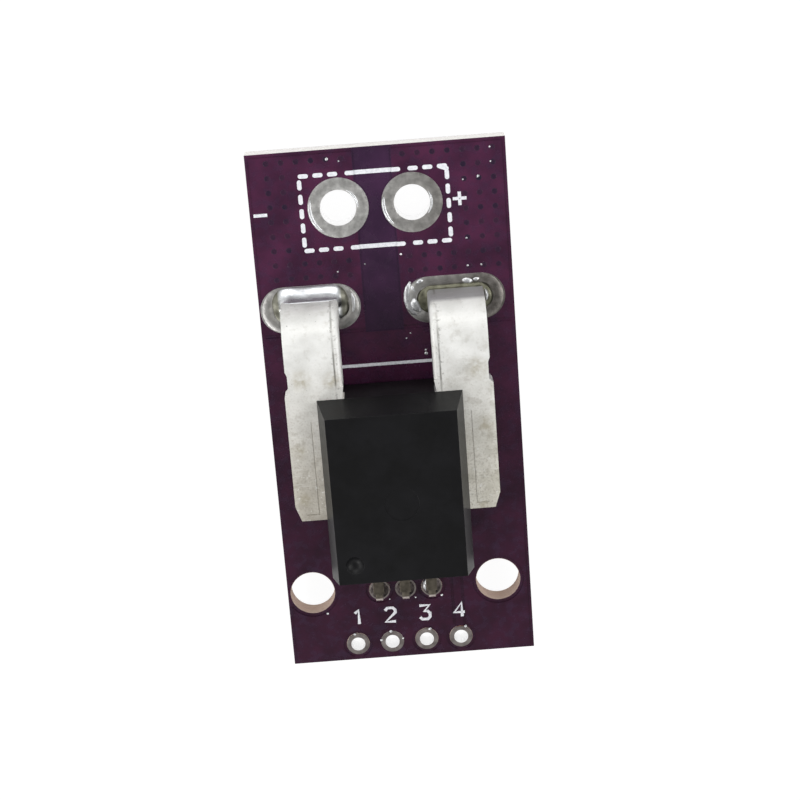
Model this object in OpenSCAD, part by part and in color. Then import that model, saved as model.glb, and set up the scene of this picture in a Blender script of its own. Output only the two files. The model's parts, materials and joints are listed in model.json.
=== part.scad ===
// Hall effect current sensor on its carrier board.
// A flat moulded sensor with a heavy U-shaped current bar is soldered to a small two-layer
// circuit board. The bar's two legs and the three thin signal leads go down through plated
// holes. Two large holes take the power wires, four small ones a pin header.
// Frame: X across the board, Y along it towards the power holes, Z up from the board.
// Origin: middle of the board in plan, at the level of the lead tips.

/* [Circuit board] */
// Width of the board
board_w = 17.78; // [17.78:0.02:24]
// Length of the board
board_l = 38.1; // [38.1:0.1:50]
// Thickness of the finished board, over copper and solder mask
board_t = 1.6; // [1.2:0.1:2.4]
// Thickness of the copper foil on each side
copper_t = 0.07; // [0.035:0.005:0.1]
// Thickness of the solder mask
mask_t = 0.03; // [0.02:0.005:0.04]
// Thickness of the tin on bare pads
tin_t = 0.05; // [0.03:0.01:0.08]
// Thickness of the copper wall in a plated hole
plating_t = 0.05; // [0.03:0.01:0.08]
// Thickness of the printed ink
ink_t = 0.02; // [0.01:0.005:0.03]
// Sideways offset of the whole layout from the middle of the board
layout_shift = -0.26; // [-0.3:0.01:0]

/* [Mounting holes] */
// Diameter of the two bare mounting holes
mount_hole_d = 3.2; // [2.2:0.1:3.2]
// Distance between the mounting holes
mount_pitch = 13.6; // [12.6:0.1:13.6]
// Distance of the mounting holes from the header end of the board
mount_edge = 5.6; // [4.5:0.1:6.5]

/* [Power wire holes] */
// Finished diameter of a power wire hole
terminal_hole_d = 2.5; // [1.5:0.1:2.8]
// Diameter of the tinned ring round it
terminal_pad_d = 4.2; // [3.6:0.1:4.6]
// Distance between the two power wire holes
terminal_pitch = 5.08; // [5:0.02:6]
// Distance of the power wire holes from the power end of the board
terminal_edge = 4.06; // [3.5:0.1:5]

/* [Header holes] */
// Finished diameter of a header hole
header_hole_d = 1.04; // [0.8:0.02:1.1]
// Diameter of its pad
header_pad_d = 1.65; // [1.5:0.05:1.8]
// Distance between header holes
header_pitch = 2.54; // [2.54:0.02:2.8]
// Distance of the header row from the header end of the board
header_edge = 1.27; // [1.1:0.01:1.5]

/* [Sensor body] */
// Distance of the body's middle from the header end of the board
body_edge = 15.15; // [14.85:0.05:15.45]
// Width of the body at its parting line
body_w = 10; // [9:0.1:11]
// Length of the body at its parting line
body_l = 13.15; // [12.8:0.05:13.6]
// Height of the body
body_h = 7; // [6.8:0.1:8.5]
// Gap between the body and the board
body_standoff = 0.1; // [0.05:0.05:0.4]
// How far each upper side leans in
upper_draft = 0.55; // [0.1:0.05:0.8]
// How far each lower side leans in
lower_draft = 0.35; // [0.1:0.05:0.5]
// Diameter of the round ejector mark on top
ejector_d = 2.4; // [1:0.1:3]
// Depth of the ejector mark
ejector_depth = 0.04; // [0.02:0.01:0.2]
// Diameter of the dimple that marks the first lead
dimple_d = 1.3; // [0.6:0.1:1.6]
// Depth of the dimple
dimple_depth = 0.35; // [0.1:0.05:0.5]

/* [Current bar] */
// Thickness of the bar
bar_t = 1.5; // [1:0.1:1.6]
// Height of the bar's top face over the board
bar_top = 4.4; // [4.2:0.05:4.6]
// Width of each leg
leg_w = 4.04; // [3.6:0.02:4.1]
// Gap between the two legs
leg_gap = 6.2; // [6:0.05:6.35]
// Width of each leg in its bend and in the board
leg_end_w = 3.88; // [3.4:0.02:3.9]
// Distance from the body's middle to the middle of the legs in the board
leg_reach = 11.93; // [11.6:0.05:12.5]
// Inside radius of the bend in each leg
leg_bend_r = 1; // [0.6:0.1:1.2]
// Distance from the body's middle to the end of the side wings
wing_end = 2.15; // [1.8:0.05:2.4]
// Width of the bridge that joins the wings inside the body
bridge_w = 3.5; // [3:0.1:3.6]
// Depth of the trimmed notch in each outer edge
notch_depth = 0.28; // [0.18:0.02:0.4]
// Length of that notch
notch_l = 1.8; // [1:0.1:2.2]
// Radius of the rolled inner edges of the legs
roll_r = 0.3; // [0.1:0.05:0.45]

/* [Signal leads] */
// Width of a signal lead
lead_w = 0.51; // [0.4:0.01:0.56]
// Thickness of a signal lead
lead_t = 0.38; // [0.3:0.01:0.4]
// Distance between signal leads
lead_pitch = 1.91; // [1.85:0.01:2.1]
// Height of the leads' top face over the board
lead_top = 2.1; // [1.9:0.05:2.2]
// Distance from the body's middle to the leads' holes
lead_reach = 9.7; // [9.5:0.05:9.9]
// Inside radius of the bend in a lead
lead_bend_r = 0.4; // [0.2:0.05:0.6]
// Length of every lead and leg under the board
tip_l = 1.2; // [0.9:0.1:2]
// Finished diameter of a signal hole
signal_hole_d = 0.8; // [0.75:0.01:0.9]
// Diameter of a signal pad
signal_pad_d = 1.5; // [1.3:0.05:1.5]

/* [Slots for the current legs] */
// Room in a slot at each narrow side of the leg
slot_end_clear = 0.66; // [0.3:0.02:0.68]
// Room in a slot at each broad side of the leg
slot_side_clear = 0.25; // [0.1:0.05:0.35]
// Width of the tinned pad at the ends of a slot
slot_ring_end = 0.9; // [0.5:0.05:0.9]
// Width of the tinned pad along the sides of a slot
slot_ring_side = 0.65; // [0.4:0.05:0.7]

/* [Stitching vias] */
// Diameter of the small tented holes that join the two sides' copper
via_hole_d = 0.3; // [0.2:0.05:0.4]
// Distance between them
via_pitch = 1.02; // [1:0.01:1.4]
// Distance of the first row from the power end of the board
via_edge = 0.67; // [0.6:0.01:0.9]

/* [Magnetic core and chip] */
// Width of the core across the body
core_w = 4; // [3:0.1:5]
// Thickness of the core's upper arm
core_upper_t = 1.6; // [1.2:0.1:1.8]
// Thickness of the core's lower arm
core_lower_t = 1.2; // [0.8:0.1:1.2]
// Thickness of the core's back
core_back_t = 1.5; // [1:0.1:2]
// Clearance between the core and the bar
core_gap = 0.3; // [0.2:0.05:0.35]
// Length of the pole faces
pole_l = 1.65; // [1.2:0.05:1.8]
// Width and length of the chip
chip_w = 1.6; // [1.2:0.1:1.8]
// Thickness of the chip
chip_t = 0.3; // [0.2:0.05:0.35]
// Diameter of a bond wire
bond_d = 0.04; // [0.03:0.01:0.08]

/* [Small parts under the board] */
// Length of a small chip part
smd_l = 1.6; // [1.5:0.05:1.7]
// Width of a small chip part
smd_w = 0.8; // [0.7:0.05:0.9]
// Height of a chip capacitor
capacitor_h = 0.75; // [0.5:0.05:0.8]
// Height of the chip resistor
resistor_h = 0.45; // [0.35:0.05:0.6]
// Length of the metal end of a small chip part
smd_cap_l = 0.35; // [0.25:0.05:0.4]
// Thickness of that metal end
smd_cap_t = 0.05; // [0.03:0.01:0.06]

/* [Hidden] */
$fn = 48;
past = 0.5;

// Levels, from the lead tips up
board_z = tip_l;
top_z = board_z + board_t;
core_z = board_z + copper_t + mask_t;
core_t = board_t - 2 * (copper_t + mask_t);
core_top_z = core_z + core_t;
pad_t = copper_t + tin_t;
pad_top_z = core_top_z + pad_t;
pad_low_z = core_z - pad_t;
bar_top_z = top_z + bar_top;
bar_z = bar_top_z - bar_t;
lead_top_z = top_z + lead_top;
lead_z = lead_top_z - lead_t;
body_z = top_z + body_standoff;
body_top_z = body_z + body_h;

// Places on the board
header_count = 4;
body_y = body_edge - board_l / 2;
slot_l = leg_end_w + 2 * slot_end_clear;
slot_w = bar_t + 2 * slot_side_clear;
slot_pad_l = slot_l + 2 * slot_ring_end;
slot_pad_w = slot_w + 2 * slot_ring_side;
slot_pitch = leg_gap + leg_end_w;
mount_y = mount_edge - board_l / 2;
header_y = header_edge - board_l / 2;
terminal_y = board_l / 2 - terminal_edge;
slot_y = body_y + leg_reach;
signal_y = body_y - lead_reach;
function mount_at(side) = [layout_shift + side * mount_pitch / 2, mount_y];
function terminal_at(side) = [layout_shift + side * terminal_pitch / 2, terminal_y];
function slot_at(side) = [layout_shift + side * slot_pitch / 2, slot_y];
function signal_at(i) = [layout_shift + (i - 1) * lead_pitch, signal_y];
function header_at(i) = [layout_shift + (i - (header_count - 1) / 2) * header_pitch, header_y];

// Copper layout
copper_edge = 0.3;
plane_gap = 2.68;
plane_y = slot_y - slot_pad_w / 2;
isolation = 0.3;
bead = 0.045;
slot_bead = 0.06;
mask_side = 0.05;
mask_open = 0.06;
pour_top_y = plane_y - 1.2 * isolation;
trace_w = 0.45;
supply_trace_w = 0.7;
supply_turn = 1.8;
output_turn = 3;
header_turn = 1.6;
link_pad_d = 0.7;
link_hole_d = 0.35;

// Current bar, seen from the body's middle
bar_half_w = leg_gap / 2 + leg_w;
bend_y = leg_reach + bar_t / 2 - leg_bend_r - bar_t;
notch_out = 0.35;
notch_slope = 0.3;
notch_y = body_l / 2 + notch_out;
neck = [0.14, 0.85];
wing_chamfer = [0.38, 1.1];
bridge_y = bridge_w - wing_end;
bridge_r = 1;
score = [0.08, 0.05];
score_in = 0.45;
score_stop = 0.2;
score_run = [0.4, 1.5];
score_hook = 0.9;
side_score = [score_run[0] - wing_end, body_l / 2 - score_run[1]];
roll_out = neck[1];
roll_y = body_l / 2 + roll_out;

// Magnetic core, seen from the body's middle
pole_y = -wing_end - core_gap - pole_l;
core_back_y = bridge_y + core_gap;
core_under_lead = 0.1;
chip_to_pole = 0.15;
core_low_z = lead_z - core_under_lead - core_lower_t;
core_window_z = bar_top_z + core_gap;
pole_z = lead_top_z + chip_t + chip_to_pole;

// Chip, its carrier and its wires, seen from the body's middle
bond_in = 0.15;
bond_out = 0.1;
bond_y = pole_y - bond_out;
chip_y = bond_y - bond_in + chip_w / 2;
paddle_rim = [0.5, 0.6];
shoulder_rim = 0.26;
paddle = [chip_w, chip_w] + paddle_rim;
shoulder_w = lead_w + shoulder_rim;
lead_inner_y = bond_y + bond_in;
bond_from = chip_w / 2 - bond_in;
bond_to = lead_pitch - shoulder_w / 2 + bond_in;

// Marks moulded into the body's top, seen from its middle
ejector_at = [0.28, -0.4];
dimple_r = (dimple_d * dimple_d / 4 + dimple_depth * dimple_depth) / (2 * dimple_depth);
dimple_in = [1.75, 1.93];
dimple_at = dimple_in - [body_w, body_l] / 2;

// Small parts under the board: place of each one's middle
smd_pad_out = 0.15;
smd_pad_side = 0.1;
smd_pad_l = 0.8;
smd_space = 1;
link_out = 0.45;
smd_pitch = smd_l - smd_cap_l + smd_pad_out;
smd_pad = [smd_pad_l, smd_w + smd_pad_side];
smd_seat_z = core_z - copper_t;
smd_row = 2.3;
smd_step = smd_w + smd_space;
smd_fillet = [0.2, 0.3];
resistor_at = signal_at(2) + [smd_pitch / 2, smd_row];
filter_at = resistor_at + [0, smd_step];
bypass_at = (signal_at(0) + signal_at(1)) / 2 + [0, smd_row];
link_via_at = resistor_at + [smd_pitch / 2 + link_out, smd_step / 2];

// Printed frame round the power wire holes, and the line beside the body
frame_w = 10.1;
frame_l = 5.2;
frame_lower = 0.25;
frame_mid = [layout_shift, terminal_y - frame_lower];
frame_plain_l = 3.8;
dash_l = 0.7;
dash_w = 0.3;
dash_step = 1;
corner_cut = 0.2;
body_line_out = 0.95;
body_line_y = body_l / 2 + body_line_out;
body_line_w = 0.22;

// Stitching vias: columns run out from each side of the gap between the planes, rows run down
// from the power end, and the printed frame with its power wire holes is left free
via_inner = 2.1;
via_frame_clear = 0.4;
via_columns = floor((board_w / 2 - copper_edge - via_inner) / via_pitch);
via_rows = floor((board_l / 2 - via_edge - slot_y - slot_pad_w / 2) / via_pitch);
function via_at(side, i, j) =
    [layout_shift + side * (via_inner + i * via_pitch), board_l / 2 - via_edge - j * via_pitch];
function via_fits(at) =
    abs(at[0]) < board_w / 2 - copper_edge - via_hole_d
    && (abs(at[0] - frame_mid[0]) > frame_w / 2 + via_frame_clear
        || abs(at[1] - frame_mid[1]) > frame_l / 2 + via_frame_clear);

// Solder
solder_rise = 0.75;
solder_fall = 0.6;
skirt_round = [0.5, 0.3];
skirt_end = [leg_end_w, bar_t] + skirt_round;
skirt_edge = 0.02;
signal_foot_in = 0.2;
signal_end_in = 0.1;
signal_foot_d = signal_pad_d - signal_foot_in;
signal_end_d = signal_hole_d - signal_end_in;

// Flat shapes

module rect(x0, y0, x1, y1) translate([x0, y0]) square([x1 - x0, y1 - y0]);

module obround(l, w) {
    square([l - w, w], center = true);
    for (side = [-1, 1]) translate([side * (l - w) / 2, 0]) circle(d = w);
}

module strip(from, to, w) {
    run = to - from;
    translate(from) rotate(atan2(run[1], run[0])) translate([0, -w / 2]) square([norm(run), w]);
    for (end = [from, to]) translate(end) circle(d = w);
}

module smd_pads_2d(at, grow = 0)
    for (side = [-1, 1])
        translate(at + [side * smd_pitch / 2, 0]) square(smd_pad + [grow, grow], center = true);

module via_circles(d)
    for (side = [-1, 1], i = [0:via_columns], j = [0:via_rows])
        if (via_fits(via_at(side, i, j))) translate(via_at(side, i, j)) circle(d = d, $fn = 24);

// Every drilled hole of the board
module drill_holes() {
    for (side = [-1, 1]) {
        translate(mount_at(side)) circle(d = mount_hole_d);
        translate(terminal_at(side)) circle(d = terminal_hole_d + 2 * plating_t);
        translate(slot_at(side)) obround(slot_l + 2 * plating_t, slot_w + 2 * plating_t);
    }
    for (i = [0:2]) translate(signal_at(i)) circle(d = signal_hole_d + 2 * plating_t);
    for (i = [0:header_count - 1])
        translate(header_at(i)) circle(d = header_hole_d + 2 * plating_t);
    translate(link_via_at) circle(d = link_hole_d + 2 * plating_t);
    via_circles(via_hole_d + 2 * plating_t);
}

module power_pads_2d() for (side = [-1, 1]) {
    translate(terminal_at(side)) circle(d = terminal_pad_d);
    translate(slot_at(side)) obround(slot_pad_l, slot_pad_w);
}

// Pads of the signal side: the ground pads, or the others with room round them
module ground_pads_2d(grow = 0) {
    translate(signal_at(1)) circle(d = signal_pad_d + grow);
    translate(header_at(1)) circle(d = header_pad_d + grow);
}

module live_pads_2d(grow = 0) {
    for (i = [0, 2]) translate(signal_at(i)) circle(d = signal_pad_d + grow);
    for (i = [0, 2, 3]) translate(header_at(i)) circle(d = header_pad_d + grow);
    translate(link_via_at) circle(d = link_pad_d + grow);
}

// Copper on one power side of the board; grow widens it for the mask that laps over its edge
module power_plane_2d(side, grow = 0) {
    inner = layout_shift + side * plane_gap / 2;
    outer = side * (board_w / 2 - copper_edge);
    difference() {
        rect(min(inner, outer) - grow, plane_y - grow,
            max(inner, outer) + grow, board_l / 2 - copper_edge + grow);
        power_pads_2d();
    }
}

// The same copper as it is etched, with room for the via barrels
module plane_2d(side) difference() {
    power_plane_2d(side);
    via_circles(via_hole_d + 2 * plating_t);
}

module upper_trace_2d(w) {
    turn = [link_via_at[0], header_at(3)[1] + header_turn];
    strip(link_via_at, turn, w);
    strip(turn, header_at(3), w);
}

module lower_traces_2d(grow = 0) {
    supply_at = signal_at(0) - [0, supply_turn];
    output_at = signal_at(2) - [0, output_turn];
    resistor_out = resistor_at + [smd_pitch / 2, 0];
    strip(bypass_at - [smd_pitch / 2, 0], signal_at(0), trace_w + grow);
    strip(signal_at(0), supply_at, supply_trace_w + grow);
    strip(supply_at, header_at(0), supply_trace_w + grow);
    strip(resistor_at - [smd_pitch / 2, 0], signal_at(2), trace_w + grow);
    strip(signal_at(2), output_at, trace_w + grow);
    strip(output_at, header_at(2), trace_w + grow);
    strip(resistor_out, filter_at + [smd_pitch / 2, 0], trace_w + grow);
    strip((resistor_out + filter_at + [smd_pitch / 2, 0]) / 2, link_via_at, trace_w + grow);
}

module live_smd_pads_2d(grow = 0) {
    translate(bypass_at - [smd_pitch / 2, 0]) square(smd_pad + [grow, grow], center = true);
    smd_pads_2d(resistor_at, grow);
    translate(filter_at + [smd_pitch / 2, 0]) square(smd_pad + [grow, grow], center = true);
}

module all_smd_pads_2d(grow = 0)
    for (at = [bypass_at, resistor_at, filter_at]) smd_pads_2d(at, grow);

module pour_2d(grow) rect(copper_edge - board_w / 2 - grow, copper_edge - board_l / 2 - grow,
    board_w / 2 - copper_edge + grow, pour_top_y + grow);

module mount_keepouts_2d(grow)
    for (side = [-1, 1]) translate(mount_at(side)) circle(d = mount_hole_d + 2 * isolation - grow);

module upper_pour_2d(grow = 0) difference() {
    pour_2d(grow);
    mount_keepouts_2d(grow);
    ground_pads_2d();
    live_pads_2d(2 * (isolation - grow));
    upper_trace_2d(trace_w + 2 * (isolation - grow));
}

module lower_pour_2d(grow = 0) difference() {
    pour_2d(grow);
    mount_keepouts_2d(grow);
    ground_pads_2d();
    live_pads_2d(2 * (isolation - grow));
    lower_traces_2d(2 * (isolation - grow));
    live_smd_pads_2d(2 * (isolation - grow));
    all_smd_pads_2d();
}

// Openings of the mask over bare pads and drilled holes
module mask_openings_2d() {
    power_pads_2d();
    ground_pads_2d(mask_open);
    live_pads_2d(mask_open);
    for (side = [-1, 1]) translate(mount_at(side)) circle(d = mount_hole_d + mask_open);
}

module layer(z, t) translate([0, 0, z]) linear_extrude(t) children();

// Circuit board

module board_core() color("tan") layer(core_z, core_t) difference() {
    square([board_w, board_l], center = true);
    drill_holes();
}

module upper_copper(t) color("peru") layer(core_top_z, t) children();

module lower_copper(t) color("peru") layer(core_z - t, t) children();

module upper_trace() upper_copper(copper_t) difference() {
    upper_trace_2d(trace_w);
    live_pads_2d();
}

module lower_traces() lower_copper(copper_t) difference() {
    lower_traces_2d();
    live_pads_2d();
    all_smd_pads_2d();
}

module upper_solder_mask() color([0.28, 0.16, 0.25]) difference() {
    union() {
        layer(core_top_z, mask_t) square([board_w, board_l], center = true);
        layer(core_top_z, copper_t + mask_t) {
            for (side = [-1, 1]) power_plane_2d(side, mask_side);
            upper_pour_2d(mask_side);
            upper_trace_2d(trace_w + 2 * mask_side);
        }
    }
    for (side = [-1, 1]) layer(core_top_z, copper_t) power_plane_2d(side);
    layer(core_top_z, copper_t) upper_pour_2d();
    layer(core_top_z, copper_t) upper_trace_2d(trace_w);
    layer(core_top_z - past, 2 * past) mask_openings_2d();
}

module lower_solder_mask() color([0.28, 0.16, 0.25]) difference() {
    union() {
        layer(core_z - mask_t, mask_t) square([board_w, board_l], center = true);
        layer(core_z - copper_t - mask_t, copper_t + mask_t) {
            for (side = [-1, 1]) power_plane_2d(side, mask_side);
            lower_pour_2d(mask_side);
            lower_traces_2d(2 * mask_side);
        }
    }
    for (side = [-1, 1]) layer(core_z - copper_t, copper_t) power_plane_2d(side);
    layer(core_z - copper_t, copper_t) lower_pour_2d();
    layer(core_z - copper_t, copper_t) lower_traces_2d();
    layer(core_z - past, 2 * past) mask_openings_2d();
    layer(core_z - past, 2 * past) all_smd_pads_2d(mask_open);
}

// Printed lines: a dashed frame with a plain middle on its long sides, and the line by the body
module print_2d() {
    side_dashes = floor(frame_l / dash_step);
    for (row = [-1, 1]) translate(frame_mid + [0, row * frame_l / 2]) {
        obround(frame_plain_l, dash_w);
        for (side = [-1, 1], i = [0:2])
            translate([side * (frame_plain_l / 2 + (i + 0.85) * dash_step), 0]) obround(dash_l, dash_w);
    }
    for (side = [-1, 1], i = [0:side_dashes - 1])
        translate(frame_mid + [side * frame_w / 2, (i - (side_dashes - 1) / 2) * dash_step])
            rotate(90) obround(dash_l, dash_w);
    corner = frame_mid + [frame_w, frame_l] / 2;
    strip(corner - [corner_cut + dash_w, 0], corner - [0, corner_cut], dash_w);
    translate([layout_shift, body_y + body_line_y])
        square([2 * bar_half_w - 2 * notch_depth, body_line_w], center = true);
}

module raised_2d() {
    for (side = [-1, 1]) power_plane_2d(side, mask_side);
    upper_pour_2d(mask_side);
}

module board_print() color("white") {
    layer(top_z, ink_t) intersection() {
        print_2d();
        raised_2d();
    }
    layer(top_z - copper_t, ink_t) difference() {
        print_2d();
        raised_2d();
        power_pads_2d();
    }
}

// Plated holes: a barrel through the board with a pad on each face

module plated_hole(at, hole_d, pad_d) color("silver") translate(at) difference() {
    union() {
        layer(pad_low_z, pad_top_z - pad_low_z) circle(d = hole_d + 2 * plating_t);
        layer(core_top_z, pad_t) circle(d = pad_d);
        layer(pad_low_z, pad_t) circle(d = pad_d);
    }
    layer(pad_low_z - past, pad_top_z - pad_low_z + 2 * past) circle(d = hole_d);
}

module signal_plating(i) plated_hole(signal_at(i), signal_hole_d, signal_pad_d);

module header_plating(i) plated_hole(header_at(i), header_hole_d, header_pad_d);

// Low round bead in which the tin stands on a ring: its section, from the ring's inner edge out
module bead_2d(w, h) {
    r = (w * w / 4 + h * h) / (2 * h);
    intersection() {
        translate([w / 2, h - r]) circle(r = r);
        square([w, h]);
    }
}

// Bead on a flat-sided ring; spine is the length of its straight sides
module race_bead(spine, radius, w, h) {
    for (side = [-1, 1]) translate([side * spine / 2, 0, 0]) rotate([0, 0, side * 90 - 180])
        rotate_extrude(angle = 180) translate([radius, 0]) bead_2d(w, h);
    for (turn = [0, 180]) rotate([0, 0, turn]) translate([-spine / 2, radius, 0])
        rotate([90, 0, 90]) linear_extrude(spine) bead_2d(w, h);
}

module terminal_plating(side) {
    ring = (terminal_pad_d - terminal_hole_d) / 2;
    plated_hole(terminal_at(side), terminal_hole_d, terminal_pad_d);
    color("silver") translate(concat(terminal_at(side), [pad_top_z])) rotate_extrude()
        translate([terminal_hole_d / 2, 0]) bead_2d(ring, bead);
}

module slot_plating(side) color("silver") translate(slot_at(side)) difference() {
    bead_spine = (slot_l + slot_pad_l - slot_w - slot_pad_w) / 2;
    union() {
        translate([0, 0, pad_top_z]) race_bead(bead_spine, slot_w / 2, slot_ring_side, slot_bead);
        layer(pad_low_z, pad_top_z - pad_low_z)
            obround(slot_l + 2 * plating_t, slot_w + 2 * plating_t);
        layer(core_top_z, pad_t) obround(slot_pad_l, slot_pad_w);
        layer(pad_low_z, pad_t) obround(slot_pad_l, slot_pad_w);
    }
    layer(pad_low_z - past, pad_top_z - pad_low_z + 2 * past) obround(slot_l, slot_w);
}

module link_via() plated_hole(link_via_at, link_hole_d, link_pad_d);

// Copper barrels under the mask, from the lower foil's face to the upper one's
module stitching_vias() color("peru") layer(core_z - copper_t, core_t + 2 * copper_t)
    difference() {
        via_circles(via_hole_d + 2 * plating_t);
        via_circles(via_hole_d);
    }

// Sensor: these modules stand at the body's middle in plan

module at_body() translate([layout_shift, body_y, 0]) children();

module bar_outline_2d() {
    half = [[0, -wing_end], [bar_half_w - wing_chamfer[0], -wing_end],
        [bar_half_w, wing_chamfer[1] - wing_end], [bar_half_w, notch_y],
        [bar_half_w - notch_depth, notch_y + notch_slope],
        [bar_half_w - notch_depth, notch_y + notch_l - notch_slope],
        [leg_gap / 2 + leg_end_w, notch_y + notch_l], [leg_gap / 2 + leg_end_w, bend_y], [0, bend_y]];
    narrowed = [[leg_gap / 2 - past, body_l / 2], [leg_gap / 2 + neck[0], body_l / 2],
        [leg_gap / 2, body_l / 2 + neck[1]], [leg_gap / 2 - past, body_l / 2 + neck[1]]];
    difference() {
        for (side = [0, 1]) mirror([side, 0]) polygon(half);
        rect(-leg_gap / 2, bridge_y + bridge_r, leg_gap / 2, bend_y + past);
        rect(bridge_r - leg_gap / 2, bridge_y, leg_gap / 2 - bridge_r, bend_y);
        for (side = [-1, 1])
            translate([side * (leg_gap / 2 - bridge_r), bridge_y + bridge_r]) circle(r = bridge_r);
        for (side = [0, 1]) mirror([side, 0]) polygon(narrowed);
    }
}

// What is cut from the edge of a bar to leave it round
module roll_2d() difference() {
    square(roll_r + past);
    circle(r = roll_r);
}

// Right leg from its bend down to the tip
module leg_bend(radius_in, t, w, z_top) {
    translate([0, bend_y, z_top - t - radius_in]) rotate([90, 0, 90]) rotate_extrude(angle = 90)
        translate([radius_in, 0]) square([t, w]);
    translate([0, bend_y + radius_in, 0]) cube([w, t, z_top - t - radius_in]);
}

// Rolled inner edge of the right leg: along the flat, round the bend and down
module leg_roll() {
    turn_r = leg_bend_r + bar_t - roll_r;
    translate([roll_r, roll_y, bar_top_z - roll_r]) mirror([1, 0, 0]) rotate([90, 0, 180])
        linear_extrude(bend_y - roll_y) mirror([1, 0]) roll_2d();
    translate([0, bend_y, bar_z - leg_bend_r]) rotate([90, 0, 90]) rotate_extrude(angle = 90)
        translate([turn_r, roll_r]) mirror([0, 1]) roll_2d();
    translate([roll_r, bend_y + turn_r, -past]) mirror([1, 0, 0])
        linear_extrude(bar_z - leg_bend_r + past) roll_2d();
}

module bar_plate() layer(bar_z, bar_t) bar_outline_2d();

// Fine line that the stamping tool leaves beside the legs' inner edges and beside the body,
// there with a short turn outwards at its end
module scores() {
    translate([leg_gap / 2 + score_in, roll_y, bar_top_z - score[1]])
        cube([score[0], bend_y - roll_y - score_stop, past]);
    translate([body_w / 2 + score_in, side_score[0], bar_top_z - score[1]]) {
        cube([score[0], side_score[1] - side_score[0], past]);
        cube([score_hook, score[0], past]);
    }
}

module current_conductor() color("gainsboro") at_body() difference() {
    union() {
        bar_plate();
        for (side = [0, 1]) mirror([side, 0, 0]) translate([leg_gap / 2, 0, 0])
            leg_bend(leg_bend_r, bar_t, leg_end_w, bar_top_z);
    }
    for (side = [0, 1]) mirror([side, 0, 0]) {
        translate([leg_gap / 2, 0, 0]) leg_roll();
        scores();
    }
}

// A lead runs out of the body, turns down, narrows and ends under the board
module formed_lead(i, inner_y) {
    z_bend = lead_z - lead_bend_r;
    outer_y = lead_reach + lead_t / 2;
    turn_y = outer_y - lead_t - lead_bend_r;
    translate([(i - 1) * lead_pitch, 0, 0]) rotate([0, 0, 180]) {
        translate([-shoulder_w / 2, -inner_y, lead_z])
            cube([shoulder_w, turn_y + inner_y, lead_t]);
        translate([0, turn_y, z_bend]) rotate([90, 0, 90]) rotate_extrude(angle = 90)
            translate([lead_bend_r, -lead_w / 2]) square([lead_t, lead_w]);
        translate([-lead_w / 2, turn_y + lead_bend_r, 0]) cube([lead_w, lead_t, z_bend]);
    }
}

module ground_frame() {
    formed_lead(1, lead_inner_y);
    translate([-paddle[0] / 2, chip_y - paddle[1] / 2, lead_z]) cube(concat(paddle, [lead_t]));
}

module chip_block() translate([-chip_w / 2, chip_y - chip_w / 2, lead_top_z])
    cube([chip_w, chip_w, chip_t]);

// A bond wire arches from the chip's top to a lead's inner end
module bond_wire(angle, from, to) rotate([0, 0, angle])
    translate([(from + to) / 2, 0, lead_top_z + chip_t]) {
        rotate([90, 0, 0]) rotate_extrude(angle = 180) translate([(to - from) / 2, 0])
            circle(d = bond_d);
        translate([(to - from) / 2, 0, -chip_t]) cylinder(d = bond_d, h = chip_t);
    }

// One wire to each outer lead, and a short one down to the chip's own carrier
module wire_set() {
    translate([0, bond_y, 0]) {
        bond_wire(0, bond_from, bond_to);
        bond_wire(180, bond_from, bond_to);
    }
    translate([0, chip_y, 0]) bond_wire(-90, bond_from, chip_w / 2 + bond_in);
}

// C-shaped core round the bridge, its open side towards the leads with the chip between its poles
module core_block() rotate([90, 0, 90]) linear_extrude(core_w, center = true) difference() {
    rect(pole_y, core_low_z, core_back_y + core_back_t, core_window_z + core_upper_t);
    rect(-wing_end - core_gap, core_low_z + core_lower_t, core_back_y, core_window_z);
    rect(pole_y - past, core_low_z + core_lower_t, -wing_end, pole_z);
}

// Section of the body: it leans in both ways from the parting line at the bar's top face
function body_section(half) = [[lower_draft - half, body_z], [-half, bar_top_z],
    [upper_draft - half, body_top_z], [half - upper_draft, body_top_z], [half, bar_top_z],
    [half - lower_draft, body_z]];

module body_block() intersection() {
    rotate([90, 0, 0]) linear_extrude(2 * body_l, center = true)
        polygon(body_section(body_w / 2));
    rotate([90, 0, 90]) linear_extrude(2 * body_w, center = true)
        polygon(body_section(body_l / 2));
}

// Moulded compound: the bar, the core, the chip and the leads' inner ends are cast into it
module sensor_body() color([0.13, 0.13, 0.14]) at_body() difference() {
    body_block();
    translate(concat(ejector_at, [body_top_z - ejector_depth])) cylinder(d = ejector_d, h = past);
    translate(concat(dimple_at, [body_top_z - dimple_depth + dimple_r])) sphere(r = dimple_r);
    bar_plate();
    core_block();
    chip_block();
    ground_frame();
    for (i = [0, 2]) formed_lead(i, lead_inner_y);
    wire_set();
}

module flux_core() color("dimgray") at_body() core_block();

module hall_chip() color("slategray") at_body() chip_block();

module supply_lead() color("silver") at_body() formed_lead(0, lead_inner_y);

module ground_lead() color("silver") at_body() ground_frame();

module output_lead() color("silver") at_body() formed_lead(2, lead_inner_y);

module bond_wires() color("gold") at_body() wire_set();

// Solder

module solder_skirt(z, h) hull() {
    translate([0, 0, z]) linear_extrude(skirt_edge) obround(slot_l, slot_w, $fn = 32);
    translate([0, 0, z + h]) linear_extrude(skirt_edge) obround(skirt_end[0], skirt_end[1], $fn = 32);
}

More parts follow.
